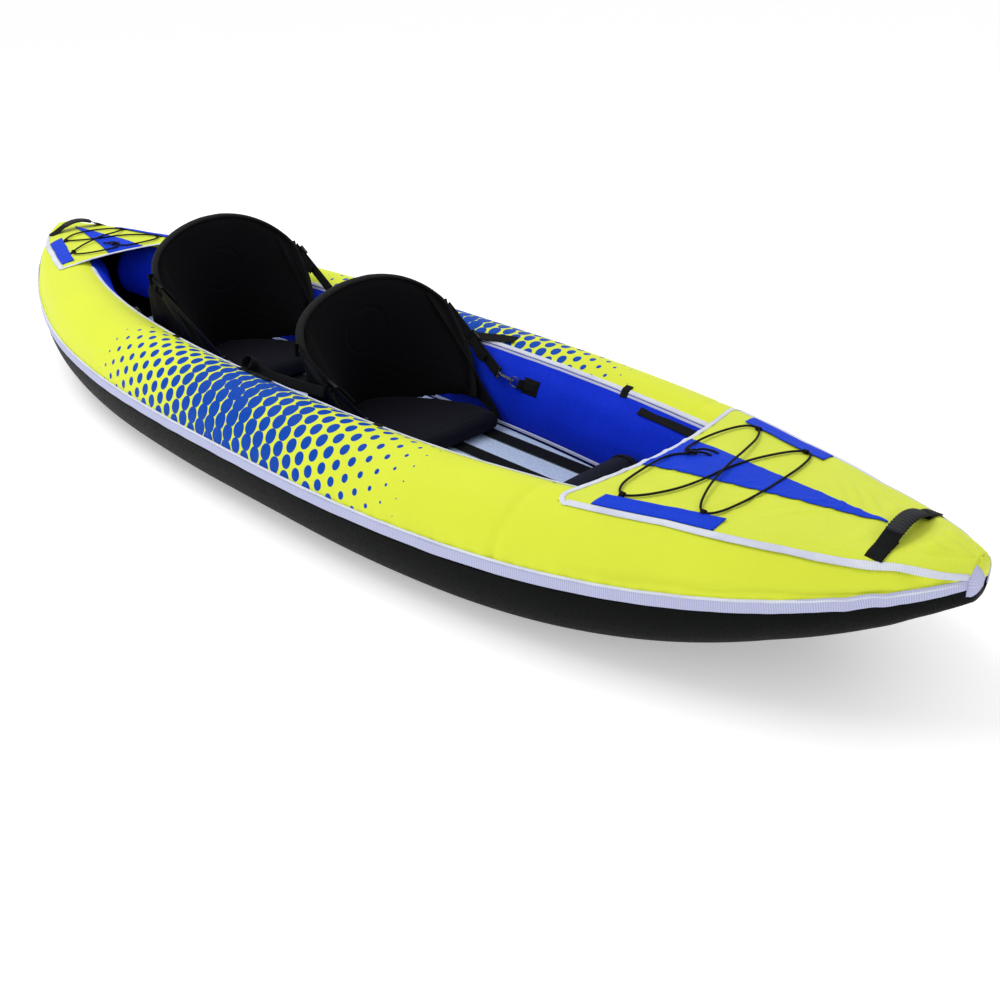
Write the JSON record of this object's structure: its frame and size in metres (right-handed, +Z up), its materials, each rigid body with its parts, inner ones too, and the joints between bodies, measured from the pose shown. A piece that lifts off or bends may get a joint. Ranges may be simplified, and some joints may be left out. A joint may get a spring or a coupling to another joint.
{
  "type": "inflatable kayak",
  "caption": "Inflatable fabric kayak for two with side and floor air chambers, tapered decks with bungee cord, bucket seats on straps, carry handles and a sliding footrest.",
  "frame": {"origin": "on the surface that the boat stands on, under the middle of its length and width", "axes": "+X towards the bow, +Y to port, +Z up"},
  "size_m": [3.3, 0.9406, 0.522],
  "materials": {
    "cover_fabric": "matte",
    "hull_fabric": "satin",
    "liner_fabric": "matte",
    "edge_tape": "matte",
    "bladder_film": "satin",
    "floor_fabric": "satin",
    "webbing": "matte",
    "cord": "matte",
    "grip_rubber": "matte",
    "seat_fabric": "matte",
    "valve_plastic": "satin",
    "hook_metal": "satin"
  },
  "bodies": {
    "hull": {"bilge_panel_port": "hull_fabric", "bilge_panel_starboard": "hull_fabric", "bottom_panel": "hull_fabric", "bow_bungee": "cord", "bow_centre_panel": "liner_fabric", "bow_deck": "cover_fabric", "bow_deck_piping": "edge_tape", "bow_flap_port": "liner_fabric", "bow_flap_starboard": "liner_fabric", "bow_stem_tape": "edge_tape", "floor_chamber": "floor_fabric", "floor_strip_port": "webbing", "floor_strip_starboard": "webbing", "front_hook_port": "hook_metal", "front_hook_starboard": "hook_metal", "front_ring_port": "webbing", "front_ring_starboard": "webbing", "front_seat_pad": "seat_fabric", "front_strap_port": "webbing", "front_strap_starboard": "webbing", "inner_wall_port": "liner_fabric", "inner_wall_starboard": "liner_fabric", "paddle_strap_port": "webbing", "paddle_strap_starboard": "webbing", "rear_hook_port": "hook_metal", "rear_hook_starboard": "hook_metal", "rear_ring_port": "webbing", "rear_ring_starboard": "webbing", "rear_seat_pad": "seat_fabric", "rear_strap_port": "webbing", "rear_strap_starboard": "webbing", "rim_piping_port": "edge_tape", "rim_piping_starboard": "edge_tape", "seam_tape_port": "edge_tape", "seam_tape_starboard": "edge_tape", "side_chamber_port": "bladder_film", "side_chamber_starboard": "bladder_film", "side_cover_port": "cover_fabric", "side_cover_starboard": "cover_fabric", "stern_bungee": "cord", "stern_centre_panel": "liner_fabric", "stern_deck": "cover_fabric", "stern_deck_piping": "edge_tape", "stern_flap_port": "liner_fabric", "stern_flap_starboard": "liner_fabric", "stern_stem_tape": "edge_tape", "valve_floor": "valve_plastic", "valve_port": "valve_plastic", "valve_starboard": "valve_plastic"},
    "front_backrest": {"front_backrest": "seat_fabric"},
    "rear_backrest": {"rear_backrest": "seat_fabric"},
    "bow_handle": {"bow_handle_grip": "grip_rubber", "bow_handle_strap": "webbing"},
    "stern_handle": {"stern_handle_grip": "grip_rubber", "stern_handle_strap": "webbing"},
    "footrest": {"footrest": "seat_fabric"},
    "starboard_cap": {"valve_cap_starboard": "valve_plastic"},
    "port_cap": {"valve_cap_port": "valve_plastic"},
    "floor_cap": {"valve_cap_floor": "valve_plastic"}
  },
  "joints": [
    {"name": "front_recline", "type": "hinge", "parent": "hull", "child": "front_backrest", "pos_m": [-0.053, 0, 0.1], "axis": [0, 1, 0], "range_deg": [-35, 4], "deforming": ["front_strap_starboard", "front_strap_port"]},
    {"name": "rear_recline", "type": "hinge", "parent": "hull", "child": "rear_backrest", "pos_m": [-0.713, 0, 0.1], "axis": [0, 1, 0], "range_deg": [-35, 4], "deforming": ["rear_strap_starboard", "rear_strap_port"]},
    {"name": "bow_handle_swing", "type": "hinge", "parent": "hull", "child": "bow_handle", "pos_m": [1.497, 0, 0.3275], "axis": [0, 1, 0], "range_deg": [-30, 30], "deforming": ["bow_handle_strap"]},
    {"name": "stern_handle_swing", "type": "hinge", "parent": "hull", "child": "stern_handle", "pos_m": [-1.53, 0, 0.3292], "axis": [0, 1, 0], "range_deg": [-30, 30], "deforming": ["stern_handle_strap"]},
    {"name": "footrest_slide", "type": "slide", "parent": "hull", "child": "footrest", "axis": [1, 0, 0], "range_m": [-0.2, 0]},
    {"name": "starboard_cap_turn", "type": "hinge", "parent": "hull", "child": "starboard_cap", "pos_m": [-0.85, -0.18213, 0.23237], "axis": [0.1841, 0.8899, 0.4173], "range_deg": [0, 270]},
    {"name": "port_cap_turn", "type": "hinge", "parent": "hull", "child": "port_cap", "pos_m": [-0.85, 0.18213, 0.23237], "axis": [0.1841, -0.8899, 0.4173], "range_deg": [0, 270]},
    {"name": "floor_cap_turn", "type": "hinge", "parent": "hull", "child": "floor_cap", "pos_m": [-0.98, 0, 0.08919], "axis": [0, 0, 1], "range_deg": [0, 270]}
  ]
}
